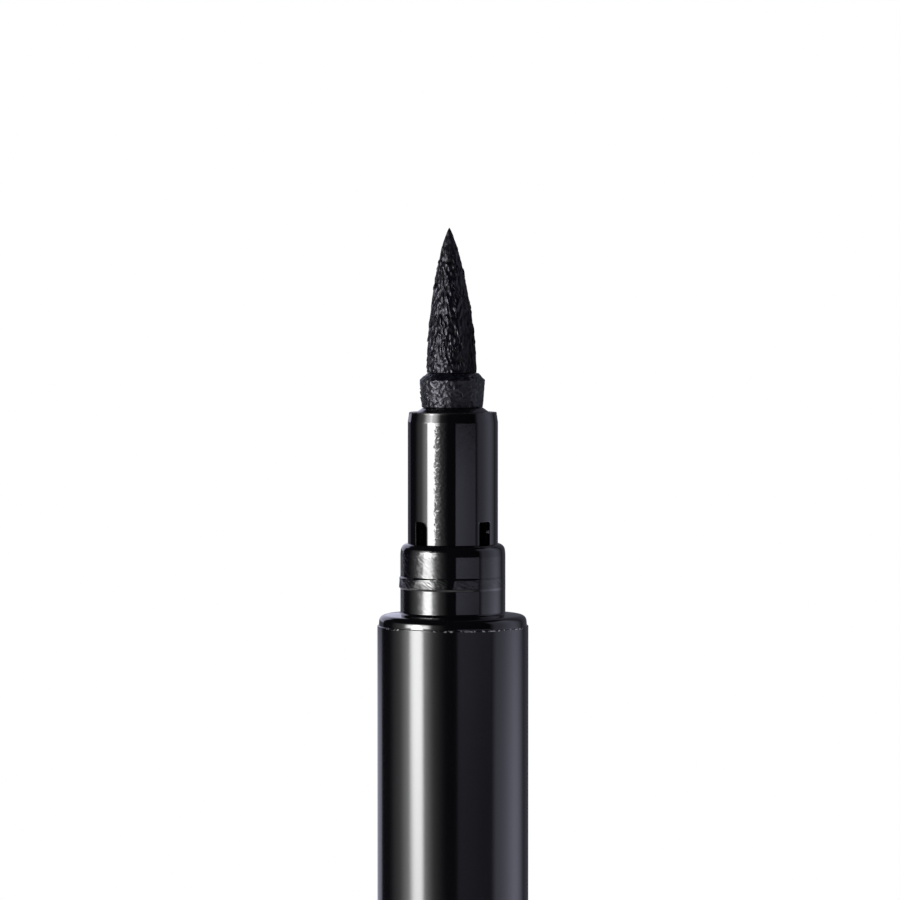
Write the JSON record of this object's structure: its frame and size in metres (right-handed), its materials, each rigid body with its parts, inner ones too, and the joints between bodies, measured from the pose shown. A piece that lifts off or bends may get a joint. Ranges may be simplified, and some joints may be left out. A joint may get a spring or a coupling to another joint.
{
  "type": "liquid eyeliner pen",
  "caption": "Slim round felt-tip liquid eyeliner pen with a stepped glossy nose, air vents, a pointed nib and a pull-off cap posted on its tail.",
  "frame": {"origin": "centre of the cap's closed end, on the surface that the pen stands on", "axes": "+Z along the pen towards the nib; +X and +Y across it, 45 degrees from the air vents"},
  "size_m": [0.0104, 0.0104, 0.1613],
  "materials": {
    "black_lacquer": "glossy black lacquer on drawn aluminium",
    "black_moulding": "glossy black moulding",
    "nib_felt": "compressed felt fibres soaked with black ink",
    "collar_felt": "dense black felt",
    "dark_plastic": "dark grey moulding",
    "natural_plastic": "natural, slightly waxy polypropylene",
    "seal_rubber": "black nitrile rubber",
    "bright_steel": "bright stainless steel"
  },
  "bodies": {
    "pen": {"felt_nib": "nib_felt", "nib_collar": "collar_felt", "nib_holder": "black_moulding", "nozzle": "black_moulding", "cap_seat": "black_moulding", "feed_wick": "collar_felt", "ink_collector": "dark_plastic", "collector_seal": "seal_rubber", "ink_cartridge": "natural_plastic", "barrel_sleeve": "black_lacquer", "tail_seal": "seal_rubber", "tail_plug": "black_moulding"},
    "ball": {"mixing_ball": "bright_steel"},
    "cap": {"cap_sleeve": "black_lacquer", "cap_liner": "dark_plastic", "inner_cap_spring": "bright_steel", "spring_seat": "dark_plastic"},
    "sealing_cup": {"inner_cap": "natural_plastic", "inner_cap_seal": "seal_rubber"}
  },
  "joints": [
    {"name": "cap_pull", "type": "slide", "parent": "cap", "child": "pen", "axis": [0, 0, 1], "range_m": [0, 0.03]},
    {"name": "inner_cap_press", "type": "slide", "parent": "cap", "child": "sealing_cup", "axis": [0, 0, -1], "range_m": [0, 0.001], "stiffness_N_per_m": 50, "springref_m": -0.006, "deforming": ["inner_cap_spring"]},
    {"name": "ball_rattle", "type": "slide", "parent": "pen", "child": "ball", "axis": [0, 0, 1], "range_m": [0, 0.0565]}
  ]
}
